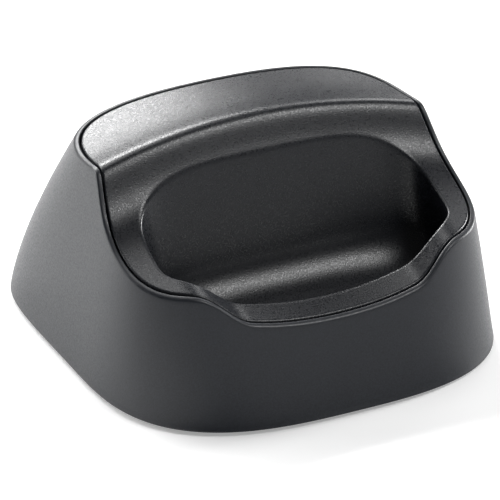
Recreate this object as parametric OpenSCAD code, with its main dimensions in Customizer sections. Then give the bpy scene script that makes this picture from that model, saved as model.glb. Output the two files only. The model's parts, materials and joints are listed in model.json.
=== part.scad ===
// Desktop charging cradle of a cordless telephone, in millimetres.
// The front is -Y and up is +Z. The origin is on the table, under the middle of the base.
// Depths named "setback" are measured backwards from the front bottom edge of the housing.
// Heights in the first three sections are measured from the bottom edge of the housing.

/* [Housing] */
// Width at the bottom edge
base_w = 82; // [68:1:100]
// Depth at the bottom edge
base_d = 87; // [72:1:105]
// Height at which the upper outline is measured
upper_h = 47.3; // [40:0.1:56]
// Width of the upper outline
upper_w = 67; // [56:0.2:80]
// Depth of the upper outline
upper_d = 43.6; // [36:0.2:52]
// Setback of the upper outline's front
upper_setback = 15.9; // [13:0.1:19]
// Setback of the widest line at the bottom
base_wide_setback = 37.6; // [31:0.1:45]
// Setback of the widest line of the upper outline
upper_wide_setback = 38.3; // [32:0.1:46]
// Squareness of the front corners at the bottom (2 is an ellipse)
base_front_square = 2.9; // [2.4:0.05:3.5]
// Squareness of the front corners of the upper outline
upper_front_square = 5; // [4.2:0.1:6]
// Squareness of the back corners at the bottom
base_back_square = 5.8; // [4.9:0.1:7]
// Squareness of the back corners of the upper outline
upper_back_square = 3.1; // [2.5:0.1:3.7]
// Curve of the front wall's profile (1 is straight)
front_curve = 0.8; // [0.7:0.05:1.1]
// Curve of the back wall's profile
back_curve = 1.45; // [1.2:0.05:1.75]
// Wall thickness
wall_t = 2.2; // [1.8:0.1:2.7]
// Width of the rim around the cradle panel
rim_w = 0.9; // [0.7:0.1:1.1]
// Width of the ledge that carries the cradle panel
ledge_w = 1.5; // [1.2:0.1:1.8]
// Width of the step that the base plate presses on
step_w = 1.2; // [1:0.1:1.5]

/* [Cradle panel] */
// Height of the seat's plane above the front bottom edge
seat_h = 22.2; // [19:0.1:25]
// Slope of the seat in degrees
seat_slope = 16.5; // [13:0.5:19]
// Slope of the riser behind the seat in degrees
riser_slope = 70.4; // [60:0.1:73]
// Slope of the back top in degrees
back_slope = 4.3; // [3:0.1:7]
// Setback of the hollow at the foot of the riser
hollow_setback = 39.2; // [36:0.1:41]
// Softness of that hollow
hollow_soft = 5.2; // [4.4:0.1:7]
// Setback of the crease at the top of the riser
crease_setback = 42.2; // [40:0.1:46]
// Softness of that crease
crease_soft = 1.55; // [1.3:0.05:2.1]
// How far the crease bows backwards in the middle, per square millimetre of half width
crease_bow = 0.0025; // [0.002:0.0001:0.003]
// How far the top falls towards the sides, per square millimetre of half width
side_fall = 0.0032; // [0.0026:0.0001:0.0036]
// Depth of the dip in the front lip
dip_h = 8; // [6.6:0.1:8.8]
// Half width of the dip, half way up its shoulders
dip_half_w = 23; // [19:0.1:25]
// Half length of the dip's shoulders
dip_shoulder = 6.6; // [5.4:0.1:7.8]
// How much the dip's depth falls away from its middle, per square millimetre of half width
dip_bow = 0.007; // [0.0055:0.0001:0.008]
// Setback at which the dip has run out by half
dip_setback = 27; // [24:0.1:30]
// Length over which the dip runs out
dip_run = 3.9; // [3.2:0.1:4.6]
// Thickness of the panel
panel_t = 2; // [1.7:0.1:2.4]
// Gap between the rim and the panel
groove_w = 0.4; // [0.3:0.05:0.5]

/* [Handset pocket] */
// Width of the opening
pocket_w = 60; // [50:0.2:61]
// Setback of the opening's front
pocket_setback = 13.8; // [13:0.1:15]
// Depth of the opening from front to back
pocket_d = 24.3; // [21:0.1:26]
// Distance from the opening's front to its widest line
pocket_wide = 9; // [7.5:0.1:10.5]
// Squareness of the front corners of the opening
pocket_front_square = 2.8; // [2.4:0.1:3.3]
// Squareness of the back corners of the opening
pocket_back_square = 3.9; // [3.3:0.1:4.5]
// Lean of the handset in degrees
pocket_lean = 15; // [12:0.5:17]
// Height of the pocket's floor
floor_h = 12; // [11.5:0.1:14]
// Radius between the pocket's wall and its floor
pocket_r = 8; // [6.5:0.1:8.6]
// Thickness of the pocket's wall
pocket_t = 1.6; // [1.4:0.1:1.8]

/* [Charging contacts] */
// Distance between the two contact pins
contact_pitch = 18; // [15:0.5:21]
// Diameter of a contact pin
contact_d = 1.8; // [1.5:0.1:2.2]
// Height of a contact pin above the floor
contact_h = 2.2; // [1.9:0.1:2.6]
// Travel of a contact pin
contact_travel = 1.5; // [1.2:0.1:1.7]
// Diameter of the flange that holds a contact pin in
flange_d = 3.4; // [3:0.1:4]
// Wall of the contact carrier
carrier_t = 1; // [0.8:0.1:1.2]

/* [Base plate and fixings] */
// Thickness of the base plate
plate_t = 2; // [1.8:0.1:2.4]
// Diameter of a rubber foot
foot_d = 10; // [8:0.5:12]
// Height of a rubber foot below the base plate
foot_gap = 0.8; // [0.7:0.1:1]
// Depth of the recess that holds a rubber foot
foot_recess = 1; // [0.8:0.1:1.2]
// Diameter of a case screw's thread
screw_d = 2.6; // [2.2:0.1:3]
// Length of a case screw's thread
screw_l = 7; // [6:0.5:8]
// Diameter of a case boss
boss_d = 6.4; // [6:0.1:7.5]
// Thickness of the steel weight
weight_t = 3; // [2.5:0.1:3.5]

/* [Circuit board and inlet] */
// Thickness of the circuit board
board_t = 1.6; // [1.3:0.1:1.9]
// Width of the circuit board
board_w = 38; // [35:0.5:40]
// Side of the inlet socket's body
socket_w = 8; // [7:0.1:9.5]
// Length of the inlet socket's body
socket_l = 11; // [9.5:0.1:13]
// Diameter of the inlet socket's nose
nose_d = 7.6; // [6.9:0.1:8.5]
// Diameter of the inlet's bore
inlet_d = 5.6; // [5:0.1:6.2]
// Diameter of the inlet's centre pin
inlet_pin_d = 2; // [1.7:0.1:2.4]

/* [Hidden] */

$fn = 48;
lanes = 72;                  // points around each ring of a skin
wall_rings = 9;              // rings up the housing's wall
top_rings = 8;               // rings across the panel, from the pocket to the edge
cove_steps = 4;              // rings around the pocket's lower radius
clearance = 0.25;            // gap between fixed pieces that lie side by side
slide_gap = 0.15;            // radial gap around a sliding pin
cove_share = 0.5;            // largest share of the pocket's depth that its lower radius takes
front_share = 0.62;          // how much less the front wall curves in than the sides
seat_gap = 0.12;             // gap under the panel's edge, for the glue line
square_run = 6;              // length over which the one way of measuring turns into the other
under_lip = 1.4;             // how far below the opening the pocket's outer wall starts, in panel thicknesses
boss_sides = 20;             // sides of the panel's bosses, and the angle they are turned by
boss_turn = 9;
eps = 0.01;

front_y = -base_d/2;
back_y = base_d/2;
axis_y = front_y + 37.5;     // the rings of the housing are drawn around this point
pocket_mid_y = front_y + pocket_setback + pocket_d/2;
lean = tan(pocket_lean);

// housing
ledge_h = panel_t + seat_gap;
ledge_t = 1.4;
ledge_in = rim_w + ledge_w;
inlet_hole_d = nose_d + 2*clearance;
edge_in = rim_w + groove_w;
seat_in = ledge_in + clearance;   // the panel is as thick as the ledge allows outside this inset
// pocket and bosses
pocket_outline = [pocket_w/2, front_y + pocket_setback + pocket_wide, front_y + pocket_setback,
    front_y + pocket_setback + pocket_d, pocket_front_square, pocket_back_square];
floor_front = pocket_outline[2] + front_share*pocket_r - lean*(opening_z(-90) - floor_h);
floor_back = pocket_outline[3] - pocket_r - lean*(opening_z(90) - floor_h);
floor_y = (floor_front + floor_back)/2;
under_floor_h = floor_h - pocket_t;
flange_t = 0.7;              // flange of a contact pin, and the stub below it that centres the spring
stub_l = 0.6;
stub_r = 0.5;
carrier_boss_d = 4.6;
carrier_boss = [contact_pitch/2 + 7, floor_y];
front_boss = [carrier_boss.x + (carrier_boss_d + boss_d)/2, floor_y];
board_side_gap = 1.8;        // gap between the circuit board and the rear bosses
rear_boss = [board_w/2 + board_side_gap + boss_d/2, front_y + crease_setback + 9.5];
carrier_boss_h = contact_travel + flange_t + stub_l;
// screws
small_screw_d = 2;
small_screw_l = 3.6;
pilot = 0.85;                // share of a screw's diameter that its pilot bore has
head_ratio = 1.9;            // head diameter over thread diameter
head_share = 0.6;            // head height over thread diameter
counterbore_z = plate_t/2;
washer_d = 7.4;
washer_t = 0.5;
// base plate, feet and label
foot_screw_gap = 0.8;        // gap between a front foot and the head of the screw behind it
foot_front = [base_w/2 - 20, front_boss.y - (screw_d*head_ratio + foot_d)/2 - foot_screw_gap];
foot_rear = [base_w/2 - 13, back_y - 10];
label_size = [30, 16, 0.15];
label_y = 4;
lip_h = 2.5;
lip_t = 1.2;
lip_z = plate_t + step_w + lip_h;
lip_in = wall_t + step_w + clearance;
// steel weight
weight_front = front_y + crease_setback + 1;
weight_back = back_y - 9;
weight_mid_y = (weight_front + weight_back)/2;
weight_hold = (weight_back - weight_front)/2 - 5;
weight_w = 2*rear_boss.x + 14;
weight_boss_d = 5;
weight_boss_y = [weight_mid_y - weight_hold, weight_mid_y + weight_hold];
// circuit board
board_z = plate_t + weight_t + washer_t + head_share*small_screw_d + 1;
board_top = board_z + board_t;
board_front = weight_front + 1;
board_back = weight_back - 0.5;
board_boss_d = 5;
board_boss_x = board_w/2 - 3.4;
board_boss_y = [board_front + 3.4, board_back - 3.4];
// inlet socket
socket_z = board_top + socket_w/2;
socket_gap = 0.4;           // gap between the socket's top edge and the back wall
nose_gap = 1.03;             // how far the nose's end stays below the wall's outer face
socket_end = wall_point(board_top + socket_w, 90, wall_t).y - socket_gap;
socket_y = socket_end - socket_l;
socket_bore_l = socket_l - 2;
nose_l = wall_point(socket_z, 90).y - nose_gap - socket_end;
leaf_size = [2.4, 0.3];
// parts on the board
capacitor_d = 8;
capacitor_h = 12;
choke_d = 7;
choke_core_d = 5.4;
choke_flange_t = 1;
choke_core_h = 3;
chip_size = [5, 4, 1.4];
chip_pin = [0.4, 1, 0.5];
chip_pitch = 1.27;
chip_pins = 4;               // pins on each side
diode_size = [4.4, 2.6, 2];
resistor_size = [3.2, 1.6, 0.6];
connector_size = [7, 5, 5.6];
connector_x = 6.5;
// Places on the board: clear of the screws' heads, and in the room in front of the socket
function beside_screws(x, d, share) = let(
    keep = sqrt(pow((d + small_screw_d*head_ratio)/2, 2) - pow(board_boss_x - abs(x), 2)))
    mix(board_boss_y[0] + keep, board_boss_y[1] - keep, share);
chip_run = chip_size.y + 2*chip_pin.y;
spare_run = socket_y - board_front - chip_run - resistor_size.y;
capacitor_at = [-12, beside_screws(12, capacitor_d, 0.258)];
choke_at = [12, beside_screws(12, choke_d, 0.302)];
diode_at = [-11, mix(capacitor_at.y + (capacitor_d + diode_size.y)/2, board_back - diode_size.y/2, 0.19)];
chip_at = [-chip_size.x/2, board_front + chip_run/2 + 0.263*spare_run];
resistor_at = [4, board_front + chip_run + resistor_size.y/2 + 0.474*spare_run];
wire_pitch = 2.5;
wire_d = 1.1;
wire_sides = 8;
// charging contacts
carrier_top = under_floor_h - carrier_boss_h;
carrier_bar_t = 1.6;
carrier_floor = carrier_top - carrier_bar_t;
carrier_seat = carrier_floor + carrier_bar_t/2;   // the terminals rest here
carrier_depth = 8;
carrier_half_w = front_boss.x - boss_d/2 - clearance;
barrel_d = flange_d + 2*slide_gap + 2*carrier_t;
terminal_t = 0.3;
tail_d = 0.8;
flange_z = under_floor_h - 0.05 - flange_t;
spring_z = carrier_seat + terminal_t;
tail_z = carrier_floor - 0.9;
connector_mouth = [connector_x, board_front + 1.4, board_top + connector_size.z/2];

// ---- outlines ----
// An outline is [half width, y of the widest line, y of the front, y of the back,
// squareness of the front, squareness of the back].

function mix(a, b, g) = a + (b - a)*g;
function wall_outline(z) = let(
    h = max(z, 0)/upper_h,
    front_g = pow(h, front_curve),
    back_g = pow(h, back_curve),
    side_g = pow(h, (front_curve + back_curve)/2))
    [mix(base_w/2, upper_w/2, side_g),
     front_y + mix(base_wide_setback, upper_wide_setback, side_g),
     front_y + mix(0, upper_setback, front_g),
     mix(back_y, front_y + upper_setback + upper_d, back_g),
     mix(base_front_square, upper_front_square, side_g),
     mix(base_back_square, upper_back_square, side_g)];

function arm(o, y) = y > o[1] ? o[3] - o[1] : o[1] - o[2];
function square(o, y) = y > o[1] ? o[5] : o[4];
function level(o, p) = pow(abs(p.x)/o[0], square(o, p.y)) + pow(abs(p.y - o[1])/arm(o, p.y), square(o, p.y));
function outward(o, p) = let(
    n = square(o, p.y),
    gx = sign(p.x)*pow(abs(p.x)/o[0], n - 1)/o[0],
    gy = sign(p.y - o[1])*pow(abs(p.y - o[1])/arm(o, p.y), n - 1)/arm(o, p.y))
    [gx, gy]/norm([gx, gy]);
// Distance from point c to the outline in the direction d
function reach(o, c, d, lo = 0, hi = 90, steps = 22) = let(m = (lo + hi)/2)
    steps == 0 ? m
    : level(o, c + m*d) < 1 ? reach(o, c, d, m, hi, steps - 1) : reach(o, c, d, lo, m, steps - 1);
// Point of an outline in the direction of angle a from (0, y), moved inwards by inset
function outline_point(o, y, a, inset = 0) = let(
    d = [cos(a), sin(a)],
    p = [0, y] + reach(o, [0, y], d)*d)
    p - inset*outward(o, p);
function wall_point(z, a, inset = 0) = outline_point(wall_outline(z), axis_y, a, inset);
function lane(i) = 360*i/lanes - 90;

// ---- the top surface ----
function ramp(u, soft) = (u + sqrt(u*u + soft*soft))/2;
function fade(u) = let(c = min(max(u, 0), 1)) 1 - c*c*c*(10 - 15*c + 6*c*c);
function tanh(u) = (exp(2*u) - 1)/(exp(2*u) + 1);
function dip(x, y) = (dip_h - dip_bow*x*x)*fade((abs(x) - dip_half_w + dip_shoulder)/(2*dip_shoulder))
    *(1 - tanh((y - front_y - dip_setback)/dip_run))/2;
function top_z(x, y) = let(v = y - front_y + crease_bow*x*x)
    seat_h + tan(seat_slope)*v
    + (tan(riser_slope) - tan(seat_slope))*ramp(v - hollow_setback, hollow_soft)
    + (tan(back_slope) - tan(riser_slope))*ramp(v - crease_setback, crease_soft)
    - side_fall*x*x - dip(x, y);
function steepness(x, y) = norm([top_z(x + 0.1, y) - top_z(x - 0.1, y),
    top_z(x, y + 0.1) - top_z(x, y - 0.1)])/0.2;
// The panel is panel_t thick, measured upright in front of the pocket's middle and squarely behind it
function squarely(y) = min(max((y - pocket_mid_y)/square_run, 0), 1);
function under_z(x, y) = top_z(x, y) - panel_t*mix(1, sqrt(1 + pow(steepness(x, y), 2)), squarely(y));
// Height at which the wall, moved inwards by inset, meets the top surface
function meet_z(a, inset, lo = 5, hi = 60, steps = 18) = let(m = (lo + hi)/2, p = wall_point(m, a, inset))
    steps == 0 ? m
    : top_z(p.x, p.y) > m ? meet_z(a, inset, m, hi, steps - 1) : meet_z(a, inset, lo, m, steps - 1);
function meet_point(a, inset, drop = 0) = let(z = meet_z(a, inset), p = wall_point(z, a, inset))
    [p.x, p.y, z - drop];

// ---- skins made of rings ----
// Two triangles between each pair of neighbouring points of ring j and ring k
function band(j, k) = [for (i = [0 : lanes - 1]) let(n = (i + 1) % lanes) each
    [[j*lanes + i, k*lanes + i, k*lanes + n], [j*lanes + i, k*lanes + n, j*lanes + n]]];
// A closed loop of rings: up the outside, then down the inside
module ring_loop(rings) {
    n = len(rings);
    polyhedron(points = [for (r = rings) each r], faces = [for (j = [0 : n - 1]) each band(j, (j + 1) % n)],
        convexity = 6);
}
// A bag of rings between two middle points: from the underside, around the edge, to the top
module ring_bag(start, rings, end) {
    n = len(rings)*lanes;
    polyhedron(points = concat([for (r = rings) each r], [start, end]),
        faces = concat([for (j = [0 : len(rings) - 2]) each band(j, j + 1)],
            [for (i = [0 : lanes - 1]) [n, i, (i + 1) % lanes]],
            [for (i = [0 : lanes - 1]) [n + 1, n - lanes + (i + 1) % lanes, n - lanes + i]]),
        convexity = 6);
}

// ---- housing ----
function wall_ring(share, inset, top_inset) = [for (i = [0 : lanes - 1]) let(a = lane(i),
    z = mix(plate_t, meet_z(a, top_inset) - ledge_h - ledge_t - step_w, share), p = wall_point(z, a, inset))
    [p.x, p.y, z]];
function flat_ring(z, inset, shape_z) = [for (i = [0 : lanes - 1]) let(p = wall_point(shape_z, lane(i), inset))
    [p.x, p.y, z]];
function outer_ring(share) = [for (i = [0 : lanes - 1]) let(a = lane(i), z = share*meet_z(a, 0),
    p = wall_point(z, a)) [p.x, p.y, z]];
function meet_ring(inset, drop) = [for (i = [0 : lanes - 1]) meet_point(lane(i), inset, drop)];
module lift() { translate([0, 0, foot_gap]) children(); }
module housing() color("#4a4b4f") lift() difference() {
    ring_loop(concat(
        [for (j = [0 : wall_rings]) outer_ring(j/wall_rings)],
        [meet_ring(rim_w, 0), meet_ring(rim_w, ledge_h), meet_ring(ledge_in, ledge_h),
         meet_ring(ledge_in, ledge_h + ledge_t)],
        [for (j = [4 : -1 : 1]) wall_ring(j/4, wall_t, ledge_in)],
        [flat_ring(plate_t + step_w, wall_t, plate_t + step_w),
         flat_ring(plate_t, wall_t + step_w, plate_t), flat_ring(plate_t, wall_t, plate_t),
         flat_ring(0, wall_t, plate_t)]));
    translate([0, socket_y, socket_z]) rotate([-90, 0, 0]) cylinder(d = inlet_hole_d, h = base_d);
}

// ---- cradle panel ----
edge_ring = meet_ring(edge_in, 0);
seat_ring = meet_ring(seat_in, 0);
// Angles of the panel's lanes, from the pocket's middle to the edge, so that they end on the housing's lanes
panel_lanes = [for (p = edge_ring) atan2(p.y - pocket_mid_y, p.x)];
function pocket_sized(i) = [pocket_w/2 - i, pocket_outline[1], pocket_outline[2] + i*(i > 0 ? front_share : 1),
    pocket_outline[3] - i, pocket_front_square, pocket_back_square];
function opening_z(a) = let(k = outline_point(pocket_outline, pocket_mid_y, a)) top_z(k.x, k.y);
// Point of the leaning pocket at height z, with its outline made smaller by i
function pocket_point(a, i, z) = let(p = outline_point(pocket_sized(i), pocket_mid_y, a))
    [p.x, p.y - lean*(opening_z(a) - z), z];
function cove_r(a) = min(pocket_r, cove_share*(opening_z(a) - floor_h));
function cove_ring(t, angle) = [for (a = panel_lanes) let(r = cove_r(a))
    pocket_point(a, pocket_r - (pocket_r + t)*cos(angle), floor_h + r - (r + t)*sin(angle))];
function pocket_ring(share, t) = [for (a = panel_lanes)
    pocket_point(a, -t, mix(floor_h + cove_r(a), opening_z(a) - (t > 0 ? under_lip*panel_t : 0), share))];
// Plan points between the opening made larger by spread (s = 0) and the ring r (s = 1)
function across(r, s, spread) = [for (i = [0 : lanes - 1])
    mix(outline_point(pocket_sized(-spread), pocket_mid_y, panel_lanes[i]), [r[i].x, r[i].y], s)];
function panel_ring(s) = [for (p = across(edge_ring, s, 0)) [p.x, p.y, top_z(p.x, p.y)]];
function under_ring(s) = [for (p = across(seat_ring, s, pocket_t)) [p.x, p.y, under_z(p.x, p.y)]];
function lowered(r, drop) = [for (p = r) p - [0, 0, drop]];
module panel_skin() {
    ring_bag([0, floor_y, under_floor_h],
        concat(
            [for (j = [cove_steps : -1 : 0]) cove_ring(pocket_t, 90*j/cove_steps)],
            [pocket_ring(0.5, pocket_t)],
            [for (j = [0 : top_rings - 1]) under_ring(j/top_rings)],
            [lowered(seat_ring, panel_t), lowered(edge_ring, panel_t)],
            [for (j = [top_rings : -1 : 0]) panel_ring(j/top_rings)],
            [pocket_ring(0.5, 0)],
            [for (j = [0 : cove_steps]) cove_ring(0, 90*j/cove_steps)]),
        [0, floor_y, floor_h]);
}
module at_sides(p) { for (s = [-1, 1]) translate([s*p.x, p.y, 0]) children(); }
module boss(d, from_z, to_z) {
    translate([0, 0, from_z]) rotate(boss_turn) cylinder(d = d, h = to_z - from_z, $fn = boss_sides);
}
module cradle_panel() color("#38393d") lift() difference() {
    union() {
        panel_skin();
        at_sides(front_boss) boss(boss_d, plate_t, floor_h - pocket_t/2);
        at_sides(rear_boss) boss(boss_d, plate_t, under_z(rear_boss.x, rear_boss.y) + panel_t/2);
        at_sides(carrier_boss) boss(carrier_boss_d, under_floor_h - carrier_boss_h, floor_h - pocket_t/2);
    }
    at_sides(front_boss) translate([0, 0, plate_t - 1]) cylinder(d = screw_d*pilot, h = screw_l + 1);
    at_sides(rear_boss) translate([0, 0, plate_t - 1]) cylinder(d = screw_d*pilot, h = screw_l + 1);
    at_sides(carrier_boss) translate([0, 0, under_floor_h - carrier_boss_h - 1])
        cylinder(d = small_screw_d*pilot, h = carrier_boss_h + 1);
    at_sides([contact_pitch/2, floor_y]) translate([0, 0, under_floor_h - 1])
        cylinder(d = contact_d + 2*slide_gap, h = pocket_t + 2);
}

// ---- screws ----
module cross_screw(d, l) {
    // pan head below z = 0, thread above it
    head_d = head_ratio*d;
    head_h = head_share*d;
    difference() {
        union() {
            rotate_extrude() polygon([[0, 0], [head_d/2, 0], [head_d/2, -head_h*0.5],
                [head_d/2 - head_h*0.4, -head_h], [0, -head_h]]);
            cylinder(d = d*pilot - 2*eps, h = l);
        }
        for (turn = [0, 90]) rotate(turn) translate([-head_d*0.3, -d*0.11, -head_h - eps])
            cube([head_d*0.6, d*0.22, head_h*0.55]);
    }
}
module case_screw(p) color("#8c8f94") lift()
    translate([p.x, p.y, counterbore_z]) cross_screw(screw_d, screw_l + plate_t - counterbore_z - 0.5);
module case_screw_front_left() case_screw([-front_boss.x, front_boss.y]);
module case_screw_front_right() case_screw(front_boss);
module case_screw_rear_left() case_screw([-rear_boss.x, rear_boss.y]);
module case_screw_rear_right() case_screw(rear_boss);

// ---- base plate ----
function ring_2d(z, inset) = [for (i = [0 : lanes - 1]) wall_point(z, lane(i), inset)];
module base_plate() color("#2f3033") lift() difference() {
    union() {
        linear_extrude(plate_t) polygon(ring_2d(plate_t, wall_t + clearance));
        translate([0, 0, plate_t/2]) linear_extrude(lip_z - plate_t/2) difference() {
            polygon(ring_2d(lip_z, lip_in));
            polygon(ring_2d(lip_z, lip_in + lip_t));
        }
        for (y = weight_boss_y) translate([0, y, plate_t/2])
            cylinder(d = weight_boss_d, h = plate_t/2 + weight_t);
        for (y = board_boss_y) at_sides([board_boss_x, y]) translate([0, 0, plate_t/2])
            cylinder(d = board_boss_d, h = board_z - plate_t/2);
    }
    for (p = [front_boss, rear_boss]) at_sides(p) {
        translate([0, 0, -1]) cylinder(d = screw_d + 2*slide_gap, h = plate_t + 2);
        translate([0, 0, -1]) cylinder(d = screw_d*head_ratio + 2*clearance, h = 1 + counterbore_z);
    }
    for (p = [foot_front, foot_rear]) at_sides(p) translate([0, 0, -1]) cylinder(d = foot_d, h = 1 + foot_recess);
    for (y = weight_boss_y) translate([0, y, plate_t - 0.5])
        cylinder(d = small_screw_d*pilot, h = weight_t + 1);
    for (y = board_boss_y) at_sides([board_boss_x, y]) translate([0, 0, board_z - small_screw_l])
        cylinder(d = small_screw_d*pilot, h = small_screw_l + 1);
    translate([-label_size.x/2 - clearance, label_y - label_size.y/2 - clearance, -1])
        cube([label_size.x + 2*clearance, label_size.y + 2*clearance, 1 + label_size.z + 0.1]);
}

// ---- feet and label ----
module foot(p) color("#1c1c1e") lift() translate([p.x, p.y, -foot_gap])
    rotate_extrude() polygon([[0, 0], [foot_d/2 - 0.6, 0], [foot_d/2 - 0.2, 0.2], [foot_d/2 - eps, 0.6],
        [foot_d/2 - eps, foot_gap + foot_recess], [0, foot_gap + foot_recess]]);
module foot_front_left() foot([-foot_front.x, foot_front.y]);
module foot_front_right() foot(foot_front);
module foot_rear_left() foot([-foot_rear.x, foot_rear.y]);
module foot_rear_right() foot(foot_rear);
module rating_label() color("#b9bbbd") lift()
    translate([-label_size.x/2, label_y - label_size.y/2, 0.1]) cube(label_size);

// ---- steel weight ----
module steel_weight() color("#85888c") lift() difference() {
    intersection() {
        translate([-weight_w/2, weight_front, plate_t]) cube([weight_w, weight_back - weight_front, weight_t]);
        linear_extrude(lip_z) polygon(ring_2d(lip_z, lip_in + lip_t + clearance));
    }
    for (y = weight_boss_y) translate([0, y, 0]) cylinder(d = weight_boss_d + 2*clearance, h = 20);
    for (y = board_boss_y) at_sides([board_boss_x, y]) cylinder(d = board_boss_d + 2*clearance, h = 20);
    at_sides(rear_boss) cylinder(d = boss_d + 2*clearance, h = 20);
}
module washer_screw(p) color("#a8abaf") lift() translate([p.x, p.y, plate_t + weight_t]) {
    mirror([0, 0, 1]) translate([0, 0, -washer_t]) cross_screw(small_screw_d, small_screw_l + washer_t - 0.4);
    difference() {
        cylinder(d = washer_d, h = washer_t);
        translate([0, 0, -1]) cylinder(d = small_screw_d*pilot - 2*eps, h = washer_t + 2);
    }
}
module weight_screw_front() washer_screw([0, weight_boss_y[0]]);
module weight_screw_rear() washer_screw([0, weight_boss_y[1]]);

// ---- circuit board ----
module circuit_board() color("#2d5a3c") lift() difference() {
    translate([-board_w/2, board_front, board_z]) cube([board_w, board_back - board_front, board_t]);
    for (y = board_boss_y) at_sides([board_boss_x, y]) cylinder(d = small_screw_d + 2*slide_gap, h = 20);
}
module board_screw(p) color("#a8abaf") lift() translate([p.x, p.y, board_top])
    mirror([0, 0, 1]) cross_screw(small_screw_d, small_screw_l + board_t - 0.4);
module board_screw_front_left() board_screw([-board_boss_x, board_boss_y[0]]);
module board_screw_front_right() board_screw([board_boss_x, board_boss_y[0]]);
module board_screw_rear_left() board_screw([-board_boss_x, board_boss_y[1]]);
module board_screw_rear_right() board_screw([board_boss_x, board_boss_y[1]]);

// ---- inlet socket ----
module along_y(y, z) { translate([0, y, z]) rotate([-90, 0, 0]) children(); }
module inlet_socket() color("#202022") lift() difference() {
    union() {
        translate([-socket_w/2, socket_y, board_top]) cube([socket_w, socket_l, socket_w]);
        along_y(socket_y + socket_l - 1, socket_z) cylinder(d = nose_d, h = nose_l + 1);
    }
    along_y(socket_y + socket_l + nose_l - socket_bore_l - nose_l, socket_z)
        cylinder(d = inlet_d, h = socket_bore_l + nose_l + 1);
    along_y(socket_y - 1, socket_z) cylinder(d = inlet_pin_d, h = socket_l);
    translate([-leaf_size.x/2 - 0.2, socket_y - 1, board_top - 1])
        cube([leaf_size.x + 0.4, socket_l - 2, 1 + (socket_w - inlet_d)/2 + 0.4]);
}
module inlet_centre_pin() color("#b8965a") lift() {
    along_y(socket_y, socket_z) cylinder(d = inlet_pin_d - 2*eps, h = socket_l + nose_l - 2.6);
    along_y(socket_y + socket_l + nose_l - 2.6 - eps, socket_z)
        cylinder(d1 = inlet_pin_d - 2*eps, d2 = inlet_pin_d*0.6, h = 0.8);
}
module inlet_leaf_contact() color("#c9b27a") lift()
    translate([-leaf_size.x/2, socket_y + 0.4, board_top + 0.3]) cube([leaf_size.x, socket_l - 3.8, leaf_size.y]);

// ---- parts on the board ----
module on_board(p) { translate([p.x, p.y, board_top]) children(); }
module capacitor() color("#3b4a6b") lift() on_board(capacitor_at)
    rotate_extrude() polygon([[0, 0], [capacitor_d/2, 0], [capacitor_d/2, 1], [capacitor_d/2 - 0.35, 1.5],
        [capacitor_d/2, 2], [capacitor_d/2, capacitor_h - 0.6], [capacitor_d/2 - 0.6, capacitor_h],
        [0, capacitor_h]]);
module choke() color("#4a4038") lift() on_board(choke_at) {
    cylinder(d = choke_d, h = choke_flange_t);
    translate([0, 0, choke_flange_t - eps]) cylinder(d = choke_core_d, h = choke_core_h);
    translate([0, 0, choke_flange_t + choke_core_h - 2*eps]) cylinder(d = choke_d, h = choke_flange_t);
}
module block(size) { translate([-size.x/2, -size.y/2, 0]) cube(size); }
module charge_chip() color("#1b1b1d") lift() on_board(chip_at) {
    translate([0, 0, 0.15]) block(chip_size);
    for (i = [0 : chip_pins - 1], s = [-1, 1])
        translate([(i - (chip_pins - 1)/2)*chip_pitch, s*((chip_size.y + chip_pin.y)/2 - eps), 0]) block(chip_pin);
}
module diode() color("#232325") lift() on_board(diode_at) block(diode_size);
module resistor(s) color("#3a3a3c") lift() on_board([s*resistor_at.x, resistor_at.y]) block(resistor_size);
module resistor_left() resistor(-1);
module resistor_right() resistor(1);
module lead_connector() color("#d8d4c6") lift() on_board([connector_x, board_front + 0.6])
    difference() {
        translate([-connector_size.x/2, 0, 0]) cube(connector_size);
        for (s = [-1, 1]) translate([s*wire_pitch/2, -1, connector_size.z/2]) rotate([-90, 0, 0])
            cylinder(d = wire_d + 0.3, h = 3);
    }

// ---- charging contacts ----
module pin_place(s) { translate([s*contact_pitch/2, floor_y, 0]) children(); }
module contact_carrier() color("#d3cfc4") lift() difference() {
    union() {
        translate([-carrier_half_w, floor_y - carrier_depth/2, carrier_floor])
            cube([2*carrier_half_w, carrier_depth, carrier_bar_t - eps]);
        for (s = [-1, 1]) pin_place(s) translate([0, 0, carrier_floor])
            cylinder(d = barrel_d, h = under_floor_h - 0.2 - carrier_floor);
    }
    for (s = [-1, 1]) pin_place(s) {
        translate([0, 0, carrier_seat]) cylinder(d = flange_d + 2*slide_gap, h = 20);
        translate([0, 0, carrier_floor - 1]) cylinder(d = tail_d + 0.2, h = 5);
    }
    at_sides(carrier_boss) translate([0, 0, carrier_floor - 1]) cylinder(d = small_screw_d + 0.2, h = 5);
}
module carrier_screw(s) color("#a8abaf") lift() translate([s*carrier_boss.x, floor_y, carrier_floor])
    cross_screw(small_screw_d, carrier_bar_t + carrier_boss_h - 0.6);
module carrier_screw_left() carrier_screw(-1);
module carrier_screw_right() carrier_screw(1);
module contact_pin(s) color("#c8a45a") lift() pin_place(s) rotate_extrude() polygon(concat(
    [[0, flange_z - stub_l], [stub_r, flange_z - stub_l], [stub_r, flange_z], [flange_d/2, flange_z],
     [flange_d/2, flange_z + flange_t], [contact_d/2, flange_z + flange_t],
     [contact_d/2, floor_h + contact_h - contact_d/2]],
    [for (a = [15 : 15 : 90]) [contact_d/2*cos(a), floor_h + contact_h - contact_d/2 + contact_d/2*sin(a)]]));
module contact_pin_left() contact_pin(-1);
module contact_pin_right() contact_pin(1);
module contact_spring(s) color("#b5b7ba") lift() pin_place(s) translate([0, 0, spring_z])
    difference() {
        cylinder(d = flange_d - 0.2, h = flange_z - spring_z);
        translate([0, 0, -1]) cylinder(d = flange_d - 1.2, h = 20);
    }
module contact_spring_left() contact_spring(-1);
module contact_spring_right() contact_spring(1);
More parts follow.
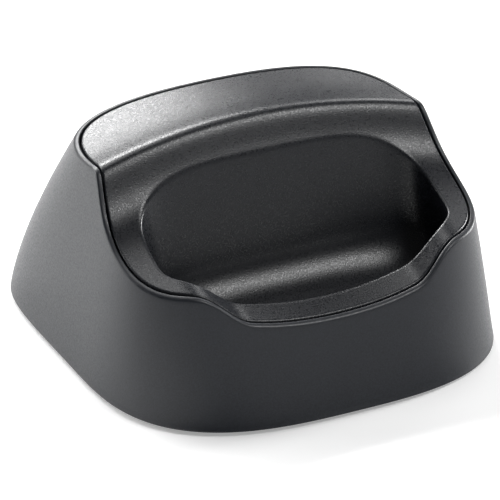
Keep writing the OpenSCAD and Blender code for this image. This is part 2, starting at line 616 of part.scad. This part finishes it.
module contact_terminal(s) color("#c9b27a") lift() pin_place(s) {
    translate([0, 0, carrier_seat]) cylinder(d = flange_d, h = terminal_t);
    translate([0, 0, tail_z]) cylinder(d = tail_d, h = carrier_seat + eps - tail_z);
}
module contact_terminal_left() contact_terminal(-1);
module contact_terminal_right() contact_terminal(1);

// ---- contact leads ----
function lead_route(s) = let(m = connector_mouth + [s*wire_pitch/2, 0, 0])
    [[s*contact_pitch/2, floor_y, tail_z - eps], [s*contact_pitch/2, floor_y, tail_z - 0.6],
     [s*contact_pitch/2, floor_y + 3, plate_t + 1], [s*contact_pitch/2, floor_y + 9, plate_t + 1],
     [m.x, m.y - 9, plate_t + 1.6], [m.x, m.y - 5, m.z - 3.6], [m.x, m.y - 2.6, m.z - 0.4], m];
function unit(v) = v/norm(v);
function heading(r, i) = unit(r[min(i + 1, len(r) - 1)] - r[max(i - 1, 0)]);
module tube(r, d) {
    rings = [for (i = [0 : len(r) - 1]) let(h = heading(r, i), u = unit(cross(h, [0.96, 0.28, 0.01])), w = cross(h, u))
        each [for (k = [0 : wire_sides - 1]) r[i] + d/2*(cos(360*k/wire_sides)*u + sin(360*k/wire_sides)*w)]];
    polyhedron(points = rings, faces = concat(
        [for (j = [0 : len(r) - 2], k = [0 : wire_sides - 1]) let(n = (k + 1) % wire_sides,
            a = j*wire_sides + k, b = j*wire_sides + n, c = a + wire_sides, e = b + wire_sides)
            each [[a, e, b], [a, c, e]]],
        [[for (k = [0 : wire_sides - 1]) k]],
        [[for (k = [wire_sides - 1 : -1 : 0]) (len(r) - 1)*wire_sides + k]]), convexity = 4);
}
module contact_lead_left() color("#2a2a2c") lift() tube(lead_route(-1), wire_d);
module contact_lead_right() color("#a8322d") lift() tube(lead_route(1), wire_d);

housing();
cradle_panel();
base_plate();
foot_front_left();
foot_front_right();
foot_rear_left();
foot_rear_right();
case_screw_front_left();
case_screw_front_right();
case_screw_rear_left();
case_screw_rear_right();
steel_weight();
weight_screw_front();
weight_screw_rear();
circuit_board();
board_screw_front_left();
board_screw_front_right();
board_screw_rear_left();
board_screw_rear_right();
contact_carrier();
carrier_screw_left();
carrier_screw_right();
contact_pin_left();
contact_pin_right();
contact_spring_left();
contact_spring_right();
contact_terminal_left();
contact_terminal_right();
contact_lead_left();
contact_lead_right();
lead_connector();
inlet_socket();
inlet_centre_pin();
inlet_leaf_contact();
capacitor();
choke();
charge_chip();
diode();
resistor_left();
resistor_right();
rating_label();
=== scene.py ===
"""Desktop charging cradle of a cordless telephone: looks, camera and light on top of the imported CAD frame."""
import json
import math

import bpy
import numpy as np
from mathutils import Matrix, Vector


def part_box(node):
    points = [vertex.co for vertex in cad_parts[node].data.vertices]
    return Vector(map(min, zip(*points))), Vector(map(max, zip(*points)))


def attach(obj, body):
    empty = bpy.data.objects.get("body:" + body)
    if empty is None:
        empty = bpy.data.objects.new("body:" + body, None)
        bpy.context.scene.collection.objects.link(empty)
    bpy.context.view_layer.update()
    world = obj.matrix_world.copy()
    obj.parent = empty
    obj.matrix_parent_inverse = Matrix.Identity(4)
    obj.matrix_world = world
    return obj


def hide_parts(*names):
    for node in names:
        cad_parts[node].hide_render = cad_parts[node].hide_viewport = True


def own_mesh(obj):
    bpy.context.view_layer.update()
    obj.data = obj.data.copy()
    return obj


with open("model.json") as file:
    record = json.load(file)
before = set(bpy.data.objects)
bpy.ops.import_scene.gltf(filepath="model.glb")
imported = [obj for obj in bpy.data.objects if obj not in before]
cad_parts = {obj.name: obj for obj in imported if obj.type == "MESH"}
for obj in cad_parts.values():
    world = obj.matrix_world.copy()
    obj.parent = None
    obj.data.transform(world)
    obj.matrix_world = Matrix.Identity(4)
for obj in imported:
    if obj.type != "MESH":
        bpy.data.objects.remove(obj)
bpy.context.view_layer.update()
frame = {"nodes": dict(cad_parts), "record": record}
nodes = frame["nodes"]
MM = 0.001

# ---- driving sizes, in millimetres, taken from the frame where it holds them ----
shell_low, shell_high = [np.array(corner)/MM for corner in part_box("housing")]
BASE_W = shell_high[0] - shell_low[0]
BASE_D = shell_high[1] - shell_low[1]
LIFT = shell_low[2]                 # the feet hold the housing this far above the table
FRONT = shell_low[1]                # "setbacks" are measured backwards from here
BACK = shell_high[1]

UPPER_H, UPPER_W, UPPER_D, UPPER_SETBACK = 47.3, 67.0, 43.6, 15.9
BASE_WIDE, UPPER_WIDE = 37.6, 38.3  # setbacks of the widest lines
FRONT_SQUARE = (2.9, 5.0)           # squareness of the front corners, at the bottom and above
BACK_SQUARE = (5.8, 3.1)
FRONT_CURVE, BACK_CURVE = 0.8, 1.45
WALL_T, RIM_W, LEDGE_W, STEP_W, GROOVE_W = 2.2, 0.9, 1.5, 1.2, 0.4
LEDGE_H, LEDGE_T, PLATE_T = 2.12, 1.4, 2.0

SEAT_H = 22.2
SEAT_SLOPE, RISER_SLOPE, BACK_SLOPE = [math.tan(math.radians(a)) for a in (16.5, 70.4, 4.3)]
HOLLOW, HOLLOW_SOFT, CREASE, CREASE_SOFT = 39.2, 5.2, 42.2, 1.55
CREASE_BOW, SIDE_FALL = 0.0025, 0.0032
DIP_H, DIP_HALF_W, DIP_SHOULDER, DIP_BOW, DIP_SETBACK, DIP_RUN = 8.0, 23.0, 6.6, 0.007, 27.0, 3.9
PANEL_T = 2.0
FOOT_R = 0.5                        # roundings: the bottom edge, the rim's outside and inside, the panel's edge
RIM_R, GROOVE_R, EDGE_R = 0.5, 0.25, 0.35
LIP_R, DIP_LIP_R = 0.7, 1.5         # the pocket's lip, crisp at the back and soft in the dip
SEAT_GAP, UNDER_LIP = 0.25, 1.4
PIN_HOLE_D = 2.1                    # hole of a contact pin in the pocket's floor
INLET_GAP = 0.1                     # added to the inlet socket's width for the hole in the wall
SHARP_ANGLE = math.radians(32)      # edges that turn further than this are drawn sharp
SPRING_WIRE_R, SPRING_TURNS, PIN_TRAVEL = 0.15, 5, 1.5
CAMERA_TURN = (-25.64, 26.1, -0.75)  # degrees: around from the front, up, and roll
CAMERA_AIM = (-12.2, 20)            # y, and height above the housing's bottom edge
CAMERA_DISTANCE = 0.669             # metres
CAMERA_SLIDE = (0.0063, 0.0001)     # metres that the view is slid to the right and up
CAMERA_LENS = (251.1, 36)           # focal length and sensor width
LIGHT_DISTANCE, WORLD_STRENGTH, FLOOR_GLOW = 1.15, 0.06, 0.3

POCKET_W, POCKET_D, POCKET_SETBACK, POCKET_WIDE = 60.0, 24.3, 13.8, 9.0
POCKET_SQUARE = (2.8, 3.9)
LEAN = math.tan(math.radians(15))
FLOOR_H, POCKET_R, POCKET_T = 12.0, 8.0, 1.6
COVE_SHARE, FRONT_SHARE, SQUARE_RUN = 0.5, 0.62, 6.0
SHELL_Y = FRONT + 37.5              # the housing's rings are drawn around this point
POCKET_Y = FRONT + POCKET_SETBACK + POCKET_D/2

LANES = 480                         # points around each ring of a skin
ANGLES = np.arange(LANES)/LANES*2*math.pi - math.pi/2


# ---- the shape, as in the CAD source ----
def mix(a, b, share):
    return a + (b - a)*share


def wall_outline(z):
    """Half width, y of the widest line, y of the front, y of the back, and the two squarenesses, at height z."""
    h = np.maximum(z, 0)/UPPER_H
    front, back, side = h**FRONT_CURVE, h**BACK_CURVE, h**((FRONT_CURVE + BACK_CURVE)/2)
    return (mix(BASE_W/2, UPPER_W/2, side), FRONT + mix(BASE_WIDE, UPPER_WIDE, side),
            FRONT + mix(0, UPPER_SETBACK, front), mix(BACK, FRONT + UPPER_SETBACK + UPPER_D, back),
            mix(*FRONT_SQUARE, side), mix(*BACK_SQUARE, side))


def pocket_outline(shrink=0.0):
    front = shrink*(FRONT_SHARE if shrink > 0 else 1)
    top = FRONT + POCKET_SETBACK
    return (POCKET_W/2 - shrink, top + POCKET_WIDE, top + front, top + POCKET_D - shrink, *POCKET_SQUARE)


def parts_at(outline, y):
    half, wide, front, back, front_n, back_n = outline
    behind = y > wide
    return half, wide, np.where(behind, back - wide, wide - front), np.where(behind, back_n, front_n)


def level(outline, x, y):
    half, wide, arm, n = parts_at(outline, y)
    return (np.abs(x)/half)**n + (np.abs(y - wide)/arm)**n


def outline_point(outline, y0, inset=0.0):
    """The outline in every lane's direction from (0, y0), moved inwards by inset."""
    dx, dy = np.cos(ANGLES), np.sin(ANGLES)
    low, high = np.zeros(LANES), np.full(LANES, 90.0)
    for _ in range(34):
        middle = (low + high)/2
        inside = level(outline, middle*dx, y0 + middle*dy) < 1
        low, high = np.where(inside, middle, low), np.where(inside, high, middle)
    x, y = low*dx, y0 + low*dy
    half, wide, arm, n = parts_at(outline, y)
    gx = np.sign(x)*(np.abs(x)/half)**(n - 1)/half
    gy = np.sign(y - wide)*(np.abs(y - wide)/arm)**(n - 1)/arm
    size = np.hypot(gx, gy)
    return x - inset*gx/size, y - inset*gy/size


def ramp(u, soft):
    return (u + np.sqrt(u*u + soft*soft))/2


def fade(u):
    c = np.clip(u, 0, 1)
    return 1 - c**3*(10 - 15*c + 6*c*c)


def top_z(x, y):
    v = y - FRONT + CREASE_BOW*x*x
    across = fade((np.abs(x) - DIP_HALF_W + DIP_SHOULDER)/(2*DIP_SHOULDER))
    along = (1 - np.tanh((y - FRONT - DIP_SETBACK)/DIP_RUN))/2
    return (SEAT_H + SEAT_SLOPE*v + (RISER_SLOPE - SEAT_SLOPE)*ramp(v - HOLLOW, HOLLOW_SOFT)
            + (BACK_SLOPE - RISER_SLOPE)*ramp(v - CREASE, CREASE_SOFT)
            - SIDE_FALL*x*x - (DIP_H - DIP_BOW*x*x)*across*along)


def under_z(x, y):
    step = 0.1
    slope = np.hypot(top_z(x + step, y) - top_z(x - step, y), top_z(x, y + step) - top_z(x, y - step))/(2*step)
    squarely = np.clip((y - POCKET_Y)/SQUARE_RUN, 0, 1)
    return top_z(x, y) - PANEL_T*mix(1, np.sqrt(1 + slope*slope), squarely)


def wall_ring(z, inset=0.0, y0=SHELL_Y):
    x, y = outline_point(wall_outline(z), y0, inset)
    return np.stack([x, y, np.broadcast_to(z, x.shape)], -1)


def meet_ring(inset, y0=SHELL_Y):
    """Where the wall, moved inwards by inset, meets the top surface."""
    low, high = np.full(LANES, 5.0), np.full(LANES, 60.0)
    for _ in range(26):
        middle = (low + high)/2
        x, y = outline_point(wall_outline(middle), y0, inset)
        above = top_z(x, y) > middle
        low, high = np.where(above, middle, low), np.where(above, high, middle)
    return wall_ring(low, inset, y0)


def dropped(ring, by):
    return ring - np.array([0, 0, 1.0])*np.reshape(by, (-1, 1))


def rounded(start, corner, end, steps):
    """Rings of a fillet from start to end around a corner, without its two ends."""
    shares = np.linspace(0, 1, steps + 2)[1:-1]
    return [start*(1 - s)**2 + corner*2*s*(1 - s) + end*s*s for s in shares]


# ---- meshes ----
def skin(name, rings, closed, caps=None):
    """A mesh from rings of lanes, joined into a loop or closed by a middle point at each end."""
    points = np.concatenate(rings + ([np.array(caps)] if caps else []))*MM
    points[:, 2] += LIFT*MM
    n = len(rings)
    i = np.arange(LANES)
    after = (i + 1) % LANES
    faces = []
    for j in range(n if closed else n - 1):
        k = (j + 1) % n
        quad = np.stack([j*LANES + i, j*LANES + after, k*LANES + after, k*LANES + i], -1)
        faces += quad.tolist()
    if caps:
        faces += [[n*LANES, b, a] for a, b in zip(i.tolist(), after.tolist())]
        last = (n - 1)*LANES
        faces += [[n*LANES + 1, last + a, last + b] for a, b in zip(i.tolist(), after.tolist())]
    mesh = bpy.data.meshes.new(name)
    mesh.from_pydata(points.tolist(), [], faces)
    mesh.update()
    mesh.shade_smooth()
    piece = bpy.data.objects.new(name, mesh)
    bpy.context.scene.collection.objects.link(piece)
    return piece


def wall_rings():
    """The housing: up the outside, over the rim, down the groove, under the ledge and down the inside."""
    top = meet_ring(0)
    side = [wall_ring(mix(FOOT_R, top[:, 2] - RIM_R, share)) for share in np.linspace(0, 1, 40)]
    rim = meet_ring(RIM_R)
    inner = meet_ring(RIM_W)
    ledge = meet_ring(RIM_W + LEDGE_W)
    under = dropped(ledge, LEDGE_H + LEDGE_T)
    low_z = PLATE_T + STEP_W
    bottom = wall_ring(0.0, FOOT_R*0.7)
    rings = [bottom] + rounded(bottom, wall_ring(0.0), side[0], 3)
    rings += side + rounded(side[-1], top, rim, 5) + [rim, meet_ring(RIM_W - GROOVE_R)]
    rings += rounded(rings[-1], inner, dropped(inner, GROOVE_R), 3)
    rings += [dropped(inner, GROOVE_R), dropped(inner, LEDGE_H), dropped(ledge, LEDGE_H), under]
    rings += [wall_ring(mix(PLATE_T, under[:, 2] - STEP_W, share), WALL_T) for share in (1, 0.75, 0.5, 0.25)]
    step = wall_ring(PLATE_T, WALL_T)
    rings += [wall_ring(low_z, WALL_T), wall_ring(PLATE_T, WALL_T + STEP_W), step]
    rings += [step*[1, 1, 0] + [0, 0, 0.4], step*[1, 1, 0]*[1.003, 1.003, 0]]
    return rings


def pocket_ring(shrink, z, opening_z):
    x, y = outline_point(pocket_outline(shrink), POCKET_Y)
    return np.stack([x, y - LEAN*(opening_z - z), np.broadcast_to(z, x.shape)], -1)


def panel_rings():
    """The cradle panel, from the middle of the floor's underside, around the edge, to the floor."""
    kx, ky = outline_point(pocket_outline(), POCKET_Y)
    opening_z = top_z(kx, ky)
    cove = np.minimum(POCKET_R, COVE_SHARE*(opening_z - FLOOR_H))
    edge_in = RIM_W + GROOVE_W
    edge = meet_ring(edge_in, POCKET_Y)

    def cove_rings(t, shares):
        angles = [math.radians(90*s) for s in shares]
        return [pocket_ring(POCKET_R - (POCKET_R + t)*math.cos(a), FLOOR_H + cove - (cove + t)*math.sin(a),
                            opening_z) for a in angles]

    def across(share, spread, height, outer=edge):
        x, y = outline_point(pocket_outline(-spread), POCKET_Y)
        p = mix(np.stack([x, y], -1), outer[:, :2], share)
        return np.stack([p[:, 0], p[:, 1], height(p[:, 0], p[:, 1])], -1)

    below = cove_rings(POCKET_T, np.linspace(1, 0, 7))
    low = mix(FLOOR_H + cove, opening_z - UNDER_LIP*PANEL_T, 0.5)
    below += [pocket_ring(-POCKET_T, low, opening_z)]
    seat = meet_ring(RIM_W + LEDGE_W + SEAT_GAP, POCKET_Y)
    below += [across(s, POCKET_T, under_z, seat) for s in np.linspace(0, 0.9, 20)]
    below += [dropped(seat, PANEL_T), dropped(meet_ring(RIM_W + LEDGE_W*0.7, POCKET_Y), PANEL_T)]
    inner_edge = meet_ring(edge_in + EDGE_R, POCKET_Y)
    side = [dropped(edge, PANEL_T), dropped(edge, EDGE_R)]
    side += rounded(side[-1], edge, inner_edge, 4) + [inner_edge]

    # the lip of the opening is crisp at the back and rolls over softly in the dip
    softness = fade((np.abs(kx) - DIP_HALF_W)/DIP_SHOULDER)*(ky < POCKET_Y)
    lip_r = mix(LIP_R, DIP_LIP_R, softness)
    width = np.hypot(edge[:, 0] - kx, edge[:, 1] - ky)
    lip_share = lip_r/width
    lip_top = across(lip_share[:, None], 0, top_z)
    lip_wall = pocket_ring(0, opening_z - lip_r, opening_z)
    near_edge = 1 - (EDGE_R + 0.15)/width
    top = [across(mix(near_edge, lip_share, s)[:, None], 0, top_z) for s in np.linspace(0, 1, 64)]
    corner = np.stack([kx, ky, opening_z], -1)
    wall = [pocket_ring(0, mix(opening_z - lip_r, FLOOR_H + cove, s), opening_z) for s in np.linspace(0, 1, 14)]
    rings = below + side + top + rounded(lip_top, corner, lip_wall, 5) + wall[:-1]
    return rings + cove_rings(0, np.linspace(0, 1, 16))


def coil(name, place, low, high, radius, wire_r, turns):
    """A closed helical tube in millimetres, its two end turns lying flat."""
    sides, steps = 12, 40*turns
    share = np.linspace(0, 1, steps + 1)
    around = share*turns*2*math.pi
    rise = np.clip((share*turns - 1)/(turns - 2), 0, 1)
    z = mix(low + wire_r, high - wire_r, rise*rise*(3 - 2*rise))
    middle = np.stack([place[0] + radius*np.cos(around), place[1] + radius*np.sin(around), z], -1)
    ahead = np.gradient(middle, axis=0)
    ahead /= np.linalg.norm(ahead, axis=1, keepdims=True)
    out = np.stack([np.cos(around), np.sin(around), 0*around], -1)
    up = np.cross(ahead, out)
    angles = np.arange(sides)/sides*2*math.pi
    points = (middle[:, None] + wire_r*(np.cos(angles)[:, None]*out[:, None] + np.sin(angles)[:, None]*up[:, None]))
    rings = [[(j*sides + i, j*sides + (i + 1) % sides, (j + 1)*sides + (i + 1) % sides, (j + 1)*sides + i)
              for i in range(sides)] for j in range(steps)]
    faces = [face for ring in rings for face in ring]
    faces += [tuple(range(sides))[::-1], tuple(range(steps*sides, (steps + 1)*sides))]
    mesh = bpy.data.meshes.new(name)
    mesh.from_pydata((points.reshape(-1, 3)*MM).tolist(), [], faces)
    mesh.update()
    mesh.shade_smooth()
    piece = bpy.data.objects.new(name, mesh)
    bpy.context.scene.collection.objects.link(piece)
    return piece


# ---- materials ----
class Shader:
    """A Principled material under construction, with procedural textures in metres."""

    def __init__(self, name, color, roughness, metallic=0.0, specular=0.5):
        self.material = bpy.data.materials.new(name)
        self.material.use_nodes = True
        self.tree = self.material.node_tree
        self.shader = self.tree.nodes["Principled BSDF"]
        self.shader.inputs["Metallic"].default_value = metallic
        self.shader.inputs["Specular IOR Level"].default_value = specular
        self.shader.inputs["Roughness"].default_value = roughness
        self.shader.inputs["Base Color"].default_value = (*color, 1)
        self.color, self.roughness = color, roughness
        self.place = self.node("ShaderNodeTexCoord").outputs["Object"]
        self.height = None

    def node(self, kind, inputs=(), **settings):
        made = self.tree.nodes.new(kind)
        for key, value in settings.items():
            setattr(made, key, value)
        for key, value in dict(inputs).items():
            self.feed(made, key, value)
        return made

    def feed(self, made, key, value):
        if isinstance(value, bpy.types.NodeSocket):
            self.tree.links.new(value, made.inputs[key])
        else:
            made.inputs[key].default_value = value

    def noise(self, size_mm, detail=2.0, roughness=0.5, stretch=(1, 1, 1)):
        place = self.node("ShaderNodeMapping", {"Vector": self.place, "Scale": stretch}).outputs[0]
        return self.node("ShaderNodeTexNoise", {"Vector": place, "Scale": 1/(size_mm*MM), "Detail": detail,
                                                "Roughness": roughness}).outputs["Fac"]

    def spread(self, value, low, high):
        """Maps the middle of a noise to the range low to high."""
        return self.node("ShaderNodeMapRange", {"Value": value, "From Min": 0.3, "From Max": 0.7, "To Min": low,
                                                "To Max": high}).outputs[0]

    def vary_color(self, value, amount):
        dark = tuple(c*(1 - amount) for c in self.color)
        light = tuple(min(1, c*(1 + amount)) for c in self.color)
        blend = self.node("ShaderNodeMix", data_type="RGBA")
        self.tree.links.new(self.spread(value, 0, 1), blend.inputs["Factor"])
        blend.inputs[6].default_value = (*dark, 1)
        blend.inputs[7].default_value = (*light, 1)
        self.tree.links.new(blend.outputs[2], self.shader.inputs["Base Color"])

    def vary_roughness(self, value, amount):
        low, high = self.roughness - amount, self.roughness + amount
        self.tree.links.new(self.spread(value, low, high), self.shader.inputs["Roughness"])

    def bump(self, value, depth_mm):
        made = self.node("ShaderNodeBump", {"Height": value, "Strength": 1.0, "Distance": depth_mm*MM})
        if self.height:
            self.tree.links.new(self.height, made.inputs["Normal"])
        self.height = made.outputs[0]
        self.tree.links.new(self.height, self.shader.inputs["Normal"])


def moulded(name, color, roughness, grain_mm, grain_depth):
    """Moulded plastic: a spark-eroded grain in height, colour and gloss, over a slow waviness."""
    s = Shader(name, color, roughness)
    s.bump(s.noise(grain_mm, 2, 0.5), grain_depth)
    s.bump(s.noise(9, 1), 0.01)
    s.vary_color(s.noise(grain_mm*1.2, 3), 0.3)
    s.vary_roughness(s.noise(grain_mm*1.4, 2), 0.09)
    return s.material


def metal(name, color, roughness, stretch=(1, 1, 1), grain_mm=0.2):
    """Plated or rolled metal, with fine drawn lines and a slow tarnish."""
    s = Shader(name, color, roughness, metallic=1)
    s.bump(s.noise(grain_mm, 2, 0.6, stretch), 0.004)
    s.vary_color(s.noise(2.5, 3), 0.08)
    s.vary_roughness(s.noise(1.2, 2), 0.07)
    return s.material


def rubber(name, color):
    s = Shader(name, color, 0.82, specular=0.3)
    s.bump(s.noise(0.25, 4, 0.7), 0.03)
    s.vary_color(s.noise(1.5, 3), 0.25)
    return s.material


def laminate(name, color):
    """A circuit board: solder mask over a woven glass core, with copper lines just showing under it."""
    s = Shader(name, color, 0.32, specular=0.6)
    weave = s.node("ShaderNodeTexChecker", {"Vector": s.place, "Scale": 1/(1.1*MM)}).outputs["Fac"]
    lines = s.node("ShaderNodeTexWave", {"Vector": s.place, "Scale": 110.0, "Distortion": 6.0}).outputs["Fac"]
    s.bump(weave, 0.006)
    s.bump(lines, 0.02)
    s.vary_color(lines, 0.22)
    return s.material


def wire(name, color):
    s = Shader(name, color, 0.38)
    s.bump(s.noise(0.5, 2), 0.01)
    s.vary_color(s.noise(3, 2), 0.1)
    return s.material


def color_of(slot):
    for entry in frame["record"]["materials"]:
        if entry["slot"] == slot:
            return tuple(entry["base_color"][:3])
    raise KeyError(slot)


def make_materials():
    made = {
        "housing_plastic": moulded("housing_plastic", (0.0145, 0.0168, 0.0218), 0.39, 0.24, 0.014),
        "panel_plastic": moulded("panel_plastic", (0.0105, 0.0118, 0.0152), 0.31, 0.24, 0.03),
        "base_plastic": moulded("base_plastic", (0.026, 0.027, 0.029), 0.55, 0.3, 0.03),
        "foot_rubber": rubber("foot_rubber", color_of("foot_rubber")),
        "case_screw_steel": metal("case_screw_steel", color_of("case_screw_steel"), 0.3),
        "fixing_steel": metal("fixing_steel", color_of("fixing_steel"), 0.3),
        "weight_steel": metal("weight_steel", color_of("weight_steel"), 0.42, (1, 14, 1), 0.5),
        "board_laminate": laminate("board_laminate", color_of("board_laminate")),
        "contact_gold": metal("contact_gold", color_of("contact_gold"), 0.22),
        "spring_steel": metal("spring_steel", color_of("spring_steel"), 0.28),
        "terminal_brass": metal("terminal_brass", color_of("terminal_brass"), 0.3),
        "lead_black": wire("lead_black", color_of("lead_black")),
        "lead_red": wire("lead_red", color_of("lead_red")),
    }
    for slot, roughness, grain in (("carrier_plastic", 0.5, 0.02), ("connector_plastic", 0.45, 0.015),
                                   ("socket_plastic", 0.4, 0.01), ("capacitor_sleeve", 0.25, 0.004),
                                   ("choke_ferrite", 0.7, 0.03), ("chip_resin", 0.6, 0.02),
                                   ("diode_resin", 0.55, 0.02), ("resistor_body", 0.3, 0.006),
                                   ("label_film", 0.45, 0.006)):
        made[slot] = moulded(slot, color_of(slot), roughness, 0.25, grain)
    return made


def paint(piece, slot):
    piece.data.materials.clear()
    piece.data.materials.append(materials[slot])


# ---- the object ----
def drill(piece, drills):
    """Cuts round holes: each drill is a middle and a diameter in millimetres, and the axis it runs along."""
    for middle, diameter, depth, turn in drills:
        bpy.ops.mesh.primitive_cylinder_add(vertices=96, radius=diameter/2*MM, depth=depth*MM,
                                            location=[c*MM for c in middle], rotation=turn)
        cutter = bpy.context.object
        cut = piece.modifiers.new("hole", "BOOLEAN")
        cut.operation, cut.object, cut.solver = "DIFFERENCE", cutter, "EXACT"
        graph = bpy.context.evaluated_depsgraph_get()
        piece.data = bpy.data.meshes.new_from_object(piece.evaluated_get(graph))
        piece.modifiers.clear()
        bpy.data.objects.remove(cutter)
    piece.data.set_sharp_from_angle(angle=SHARP_ANGLE)


def build_housing():
    shell = skin("housing_shell", wall_rings(), closed=True)
    low, high = [np.array(c)/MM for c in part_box("inlet_socket")]
    middle = ((low[0] + high[0])/2, BACK + 2, (low[2] + high[2])/2)
    drill(shell, [(middle, high[0] - low[0] + INLET_GAP, 30, (math.pi/2, 0, 0))])
    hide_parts("housing")
    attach(shell, "cradle")
    paint(shell, "housing_plastic")


def build_panel():
    rings = panel_rings()
    middle = [0, rings[-1][:, 1].mean()]
    panel = skin("cradle_top", rings, closed=False, caps=[[*middle, FLOOR_H - POCKET_T], [*middle, FLOOR_H]])
    pins = [(np.array(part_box(name)).mean(0)/MM)[:2] for name in ("contact_pin_left", "contact_pin_right")]
    drill(panel, [((*pin, FLOOR_H + LIFT), PIN_HOLE_D, 4*POCKET_T, (0, 0, 0)) for pin in pins])
    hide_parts("cradle_panel")
    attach(panel, "cradle")
    paint(panel, "panel_plastic")


def build_springs():
    """A coil in the room of each spring."""
    for side in ("left", "right"):
        low, high = [np.array(corner)/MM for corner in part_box("contact_spring_" + side)]
        place = (low + high)/2
        spring = coil("contact_coil_" + side, place, low[2], high[2], (high[0] - low[0])/2 - SPRING_WIRE_R,
                      SPRING_WIRE_R, SPRING_TURNS)
        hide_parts("contact_spring_" + side)
        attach(spring, "cradle")
        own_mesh(spring)
        paint(spring, "spring_steel")


def finish_nodes():
    slots = {part["node"]: part["material_slot"] for part in frame["record"]["subparts"]}
    for name, obj in nodes.items():
        if name not in ("housing", "cradle_panel", "contact_spring_left", "contact_spring_right"):
            paint(obj, slots[name])


# ---- stage, light and camera ----
def add_floor():
    bpy.ops.mesh.primitive_plane_add(size=8, location=(0, 0, 0))
    floor = bpy.context.object
    floor.name = "floor"
    s = Shader("floor_paper", (0.88, 0.88, 0.88), 0.9, specular=0.1)
    s.shader.inputs["Emission Color"].default_value = (1, 1, 1, 1)
    s.shader.inputs["Emission Strength"].default_value = FLOOR_GLOW
    s.vary_color(s.noise(60, 2), 0.01)
    floor.data.materials.append(s.material)


def softbox(name, place, target, size, power):
    data = bpy.data.lights.new(name, "AREA")
    data.shape, data.size, data.size_y = "RECTANGLE", *size
    data.energy = power
    light = bpy.data.objects.new(name, data)
    light.location = place
    light.rotation_euler = (Vector(target) - Vector(place)).to_track_quat("-Z", "Y").to_euler()
    bpy.context.scene.collection.objects.link(light)


def light_studio():
    """Softboxes by name: compass angle from straight behind, height angle, size and power."""
    middle = Vector((0, 0, 0.02))
    for name, around, up, size, power in (
            ("left_box", -48, 21, (0.5, 0.5), 6),
            ("back_box", -5, 40, (0.9, 0.25), 16.5),
            ("over_front", 135, 54, (0.4, 0.25), 4.5),
            ("right_low", 86, 12, (0.3, 0.3), 11),
            ("right_back", 45, 30, (0.4, 0.4), 2.2),
            ("seat_box", 13, 67, (0.35, 0.35), 1.5),
            ("front_low", 165, 14, (0.8, 0.3), 0.5)):
        turn, rise = math.radians(around), math.radians(up)
        place = LIGHT_DISTANCE*Vector((math.sin(turn)*math.cos(rise), math.cos(turn)*math.cos(rise), math.sin(rise)))
        softbox(name, place, middle, size, power)
    world = bpy.data.worlds.new("studio")
    bpy.context.scene.world = world
    world.use_nodes = True
    world.node_tree.nodes["Background"].inputs[0].default_value = (1, 1, 1, 1)
    world.node_tree.nodes["Background"].inputs[1].default_value = WORLD_STRENGTH
    bpy.context.scene.view_settings.view_transform = "Standard"


def add_camera():
    azimuth, elevation, roll = [math.radians(a) for a in CAMERA_TURN]
    away = Vector((math.sin(azimuth)*math.cos(elevation), -math.cos(azimuth)*math.cos(elevation),
                   math.sin(elevation)))
    right = Vector((math.cos(azimuth), math.sin(azimuth), 0))
    up = away.cross(right)
    aim = Vector((0, CAMERA_AIM[0], CAMERA_AIM[1] + LIFT))*MM
    place = aim + away*CAMERA_DISTANCE
    look = (place - (aim - right*CAMERA_SLIDE[0] + up*CAMERA_SLIDE[1])).normalized()
    side = up.cross(look).normalized()
    turned_side = side*math.cos(roll) + look.cross(side)*math.sin(roll)
    data = bpy.data.cameras.new("camera")
    data.lens, data.sensor_width = CAMERA_LENS
    camera = bpy.data.objects.new("camera", data)
    axes = Matrix((turned_side, look.cross(turned_side), look)).transposed()
    camera.matrix_world = Matrix.Translation(place) @ axes.to_4x4()
    bpy.context.scene.collection.objects.link(camera)
    bpy.context.scene.camera = camera


add_camera()
materials = make_materials()
build_housing()
build_panel()
build_springs()
finish_nodes()
add_floor()
light_studio()
